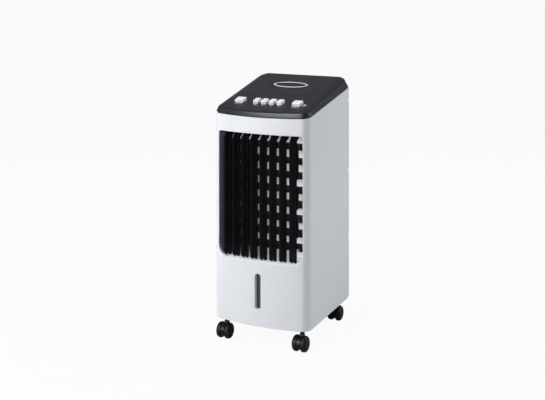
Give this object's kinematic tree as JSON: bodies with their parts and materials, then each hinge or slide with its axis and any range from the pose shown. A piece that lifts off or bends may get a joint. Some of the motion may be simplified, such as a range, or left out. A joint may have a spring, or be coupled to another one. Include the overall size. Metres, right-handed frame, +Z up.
{
  "type": "evaporative cooler",
  "caption": "Upright household evaporative cooler on castors: bowed front with swinging vanes and tilting louvres, sloping lid with push keys, rear filter and pull-out water tank.",
  "frame": {"origin": "centre of the footprint's bounding box on the floor, under the castor wheels", "axes": "+X to the user's right when facing the front, +Y from the front to the rear, +Z up"},
  "size_m": [0.234, 0.2642, 0.5781],
  "materials": {
    "white_shell": "satin moulded ABS",
    "charcoal_lid": "satin moulded, dark grey",
    "slate_frame": "matt moulded, slate",
    "black_plastic": "matt moulded, black",
    "key_plastic": "satin",
    "bright_trim": "bright",
    "steel": "plain",
    "level_window": "clear, tinted",
    "tank_plastic": "satin moulded",
    "pad_paper": "ribbed cellulose",
    "filter_mesh": "fine woven mesh",
    "hose_silicone": "translucent",
    "cord_rubber": "matt"
  },
  "bodies": {
    "cabinet": {"casing": "white_shell", "base": "white_shell", "rear_frame": "white_shell", "top_cover": "charcoal_lid", "badge_ring": "bright_trim", "level_window": "level_window", "air_duct": "white_shell", "louvre_frame": "slate_frame", "fan_motor": "steel", "rotor_bearing": "steel", "cooling_pad": "pad_paper", "water_distributor": "white_shell", "water_hose": "hose_silicone", "swing_motor": "steel", "switch_block": "black_plastic", "power_cord": "cord_rubber", "rear_screw_left": "steel", "rear_screw_right": "steel"},
    "vane_1": {"vane_1": "black_plastic"},
    "vane_2": {"vane_2": "black_plastic"},
    "vane_3": {"vane_3": "black_plastic"},
    "vane_4": {"vane_4": "black_plastic"},
    "vane_5": {"vane_5": "black_plastic"},
    "vane_6": {"vane_6": "black_plastic"},
    "vane_7": {"vane_7": "black_plastic"},
    "vane_8": {"vane_8": "black_plastic"},
    "vane_link": {"vane_link": "black_plastic"},
    "swing_crank": {"swing_crank": "steel"},
    "louvre_1": {"louvre_1": "black_plastic"},
    "louvre_2": {"louvre_2": "black_plastic"},
    "louvre_3": {"louvre_3": "black_plastic"},
    "louvre_link_a": {"louvre_link_a": "black_plastic"},
    "louvre_4": {"louvre_4": "black_plastic"},
    "louvre_5": {"louvre_5": "black_plastic"},
    "louvre_link_b": {"louvre_link_b": "black_plastic"},
    "louvre_6": {"louvre_6": "black_plastic"},
    "louvre_7": {"louvre_7": "black_plastic"},
    "louvre_link_c": {"louvre_link_c": "black_plastic"},
    "louvre_8": {"louvre_8": "black_plastic"},
    "castor_fl_fork": {"castor_fl_fork": "black_plastic"},
    "castor_fl_wheels": {"castor_fl_wheels": "black_plastic"},
    "castor_fr_fork": {"castor_fr_fork": "black_plastic"},
    "castor_fr_wheels": {"castor_fr_wheels": "black_plastic"},
    "castor_rl_fork": {"castor_rl_fork": "black_plastic"},
    "castor_rl_wheels": {"castor_rl_wheels": "black_plastic"},
    "castor_rr_fork": {"castor_rr_fork": "black_plastic"},
    "castor_rr_wheels": {"castor_rr_wheels": "black_plastic"},
    "key_1": {"key_1": "key_plastic"},
    "key_2": {"key_2": "key_plastic"},
    "key_3": {"key_3": "key_plastic"},
    "key_4": {"key_4": "key_plastic"},
    "rocker_left": {"rocker_left": "key_plastic"},
    "rocker_right": {"rocker_right": "key_plastic"},
    "blower_rotor": {"blower_rotor": "black_plastic"},
    "water_tank": {"water_tank": "tank_plastic", "water_pump": "black_plastic"},
    "air_filter": {"filter_frame": "white_shell", "filter_mesh": "filter_mesh"},
    "tank_latch": {"tank_latch": "slate_frame"}
  },
  "joints": [
    {"name": "vane_1_swing", "type": "hinge", "parent": "cabinet", "child": "vane_1", "pos_m": [-0.0805, -0.10806, 0.338], "axis": [0, 0, 1], "range_deg": [0, 74]},
    {"name": "vane_2_swing", "type": "hinge", "parent": "cabinet", "child": "vane_2", "pos_m": [-0.0575, -0.11152, 0.338], "axis": [0, 0, 1], "range_deg": [0, 74]},
    {"name": "vane_3_swing", "type": "hinge", "parent": "cabinet", "child": "vane_3", "pos_m": [-0.0345, -0.11381, 0.338], "axis": [0, 0, 1], "range_deg": [0, 74]},
    {"name": "vane_4_swing", "type": "hinge", "parent": "cabinet", "child": "vane_4", "pos_m": [-0.0115, -0.11496, 0.338], "axis": [0, 0, 1], "range_deg": [0, 74]},
    {"name": "vane_5_swing", "type": "hinge", "parent": "cabinet", "child": "vane_5", "pos_m": [0.0115, -0.11496, 0.338], "axis": [0, 0, 1], "range_deg": [0, 74]},
    {"name": "vane_6_swing", "type": "hinge", "parent": "cabinet", "child": "vane_6", "pos_m": [0.0345, -0.11381, 0.338], "axis": [0, 0, 1], "range_deg": [0, 74]},
    {"name": "vane_7_swing", "type": "hinge", "parent": "cabinet", "child": "vane_7", "pos_m": [0.0575, -0.11152, 0.338], "axis": [0, 0, 1], "range_deg": [0, 74]},
    {"name": "vane_8_swing", "type": "hinge", "parent": "cabinet", "child": "vane_8", "pos_m": [0.0805, -0.10806, 0.338], "axis": [0, 0, 1], "range_deg": [0, 74]},
    {"name": "vane_link_turn", "type": "hinge", "parent": "vane_1", "child": "vane_link", "pos_m": [-0.07659, -0.10287, 0.48375], "axis": [0, 0, 1], "range_deg": [-74, 0]},
    {"name": "swing_crank_turn", "type": "hinge", "parent": "cabinet", "child": "swing_crank", "pos_m": [0.042, -0.03515, 0.487], "axis": [0, 0, 1], "range_deg": [0, 74]},
    {"name": "louvre_1_tilt", "type": "hinge", "parent": "cabinet", "child": "louvre_1", "pos_m": [0, -0.08615, 0.4442], "axis": [1, 0, 0], "range_deg": [-45, 20]},
    {"name": "louvre_2_tilt", "type": "hinge", "parent": "cabinet", "child": "louvre_2", "pos_m": [0, -0.08615, 0.4122], "axis": [1, 0, 0], "range_deg": [-45, 20]},
    {"name": "louvre_3_tilt", "type": "hinge", "parent": "cabinet", "child": "louvre_3", "pos_m": [0, -0.08615, 0.3802], "axis": [1, 0, 0], "range_deg": [-45, 20]},
    {"name": "louvre_link_a_turn", "type": "hinge", "parent": "louvre_1", "child": "louvre_link_a", "pos_m": [0.0805, -0.09667, 0.44098], "axis": [1, 0, 0], "range_deg": [-20, 45]},
    {"name": "louvre_4_tilt", "type": "hinge", "parent": "cabinet", "child": "louvre_4", "pos_m": [0, -0.08615, 0.3482], "axis": [1, 0, 0], "range_deg": [-45, 20]},
    {"name": "louvre_5_tilt", "type": "hinge", "parent": "cabinet", "child": "louvre_5", "pos_m": [0, -0.08615, 0.3162], "axis": [1, 0, 0], "range_deg": [-45, 20]},
    {"name": "louvre_link_b_turn", "type": "hinge", "parent": "louvre_4", "child": "louvre_link_b", "pos_m": [0.0805, -0.09667, 0.34498], "axis": [1, 0, 0], "range_deg": [-20, 45]},
    {"name": "louvre_6_tilt", "type": "hinge", "parent": "cabinet", "child": "louvre_6", "pos_m": [0, -0.08615, 0.2842], "axis": [1, 0, 0], "range_deg": [-45, 20]},
    {"name": "louvre_7_tilt", "type": "hinge", "parent": "cabinet", "child": "louvre_7", "pos_m": [0, -0.08615, 0.2522], "axis": [1, 0, 0], "range_deg": [-45, 20]},
    {"name": "louvre_link_c_turn", "type": "hinge", "parent": "louvre_6", "child": "louvre_link_c", "pos_m": [0.0805, -0.09667, 0.28098], "axis": [1, 0, 0], "range_deg": [-20, 45]},
    {"name": "louvre_8_tilt", "type": "hinge", "parent": "cabinet", "child": "louvre_8", "pos_m": [0, -0.08615, 0.2202], "axis": [1, 0, 0], "range_deg": [-45, 20]},
    {"name": "castor_fl_swivel", "type": "hinge", "parent": "cabinet", "child": "castor_fl_fork", "pos_m": [-0.0935, -0.09865, 0.048], "axis": [0, 0, 1], "continuous": true},
    {"name": "castor_fl_roll", "type": "hinge", "parent": "castor_fl_fork", "child": "castor_fl_wheels", "pos_m": [-0.0935, -0.10765, 0.0175], "axis": [1, 0, 0], "continuous": true},
    {"name": "castor_fr_swivel", "type": "hinge", "parent": "cabinet", "child": "castor_fr_fork", "pos_m": [0.0935, -0.09865, 0.048], "axis": [0, 0, 1], "continuous": true},
    {"name": "castor_fr_roll", "type": "hinge", "parent": "castor_fr_fork", "child": "castor_fr_wheels", "pos_m": [0.0935, -0.10765, 0.0175], "axis": [1, 0, 0], "continuous": true},
    {"name": "castor_rl_swivel", "type": "hinge", "parent": "cabinet", "child": "castor_rl_fork", "pos_m": [-0.0935, 0.09235, 0.048], "axis": [0, 0, 1], "continuous": true},
    {"name": "castor_rl_roll", "type": "hinge", "parent": "castor_rl_fork", "child": "castor_rl_wheels", "pos_m": [-0.0935, 0.10135, 0.0175], "axis": [1, 0, 0], "continuous": true},
    {"name": "castor_rr_swivel", "type": "hinge", "parent": "cabinet", "child": "castor_rr_fork", "pos_m": [0.0935, 0.09235, 0.048], "axis": [0, 0, 1], "continuous": true},
    {"name": "castor_rr_roll", "type": "hinge", "parent": "castor_rr_fork", "child": "castor_rr_wheels", "pos_m": [0.0935, 0.10135, 0.0175], "axis": [1, 0, 0], "continuous": true},
    {"name": "key_1_press", "type": "slide", "parent": "cabinet", "child": "key_1", "axis": [0, 0.2098, -0.9777], "range_m": [0, 0.004]},
    {"name": "key_2_press", "type": "slide", "parent": "cabinet", "child": "key_2", "axis": [0, 0.2098, -0.9777], "range_m": [0, 0.004]},
    {"name": "key_3_press", "type": "slide", "parent": "cabinet", "child": "key_3", "axis": [0, 0.2098, -0.9777], "range_m": [0, 0.004]},
    {"name": "key_4_press", "type": "slide", "parent": "cabinet", "child": "key_4", "axis": [0, 0.2098, -0.9777], "range_m": [0, 0.004]},
    {"name": "rocker_left_rock", "type": "hinge", "parent": "cabinet", "child": "rocker_left", "pos_m": [-0.071, -0.07152, 0.53252], "axis": [1, 0, 0], "range_deg": [0, 10]},
    {"name": "rocker_right_rock", "type": "hinge", "parent": "cabinet", "child": "rocker_right", "pos_m": [0.071, -0.07152, 0.53252], "axis": [1, 0, 0], "range_deg": [0, 10]},
    {"name": "blower_spin", "type": "hinge", "parent": "cabinet", "child": "blower_rotor", "pos_m": [-0.06, 0.01085, 0.336], "axis": [0, 0, 1], "continuous": true},
    {"name": "tank_slide", "type": "slide", "parent": "cabinet", "child": "water_tank", "axis": [0, 1, 0], "range_m": [0, 0.22]},
    {"name": "filter_slide", "type": "slide", "parent": "cabinet", "child": "air_filter", "axis": [0, 1, 0], "range_m": [0, 0.08]},
    {"name": "tank_latch_turn", "type": "hinge", "parent": "cabinet", "child": "tank_latch", "pos_m": [0, 0.12985, 0.1927], "axis": [0, 1, 0], "range_deg": [0, 90]}
  ],
  "couplings": [
    {"joint": "vane_2_swing", "follows": "vane_1_swing", "ratio": 1},
    {"joint": "vane_3_swing", "follows": "vane_1_swing", "ratio": 1},
    {"joint": "vane_4_swing", "follows": "vane_1_swing", "ratio": 1},
    {"joint": "vane_5_swing", "follows": "vane_1_swing", "ratio": 1},
    {"joint": "vane_6_swing", "follows": "vane_1_swing", "ratio": 1},
    {"joint": "vane_7_swing", "follows": "vane_1_swing", "ratio": 1},
    {"joint": "vane_8_swing", "follows": "vane_1_swing", "ratio": 1},
    {"joint": "vane_link_turn", "follows": "vane_1_swing", "ratio": -1},
    {"joint": "swing_crank_turn", "follows": "vane_1_swing", "ratio": 1},
    {"joint": "louvre_2_tilt", "follows": "louvre_1_tilt", "ratio": 1},
    {"joint": "louvre_3_tilt", "follows": "louvre_1_tilt", "ratio": 1},
    {"joint": "louvre_link_a_turn", "follows": "louvre_1_tilt", "ratio": -1},
    {"joint": "louvre_5_tilt", "follows": "louvre_4_tilt", "ratio": 1},
    {"joint": "louvre_link_b_turn", "follows": "louvre_4_tilt", "ratio": -1},
    {"joint": "louvre_7_tilt", "follows": "louvre_6_tilt", "ratio": 1},
    {"joint": "louvre_link_c_turn", "follows": "louvre_6_tilt", "ratio": -1}
  ]
}
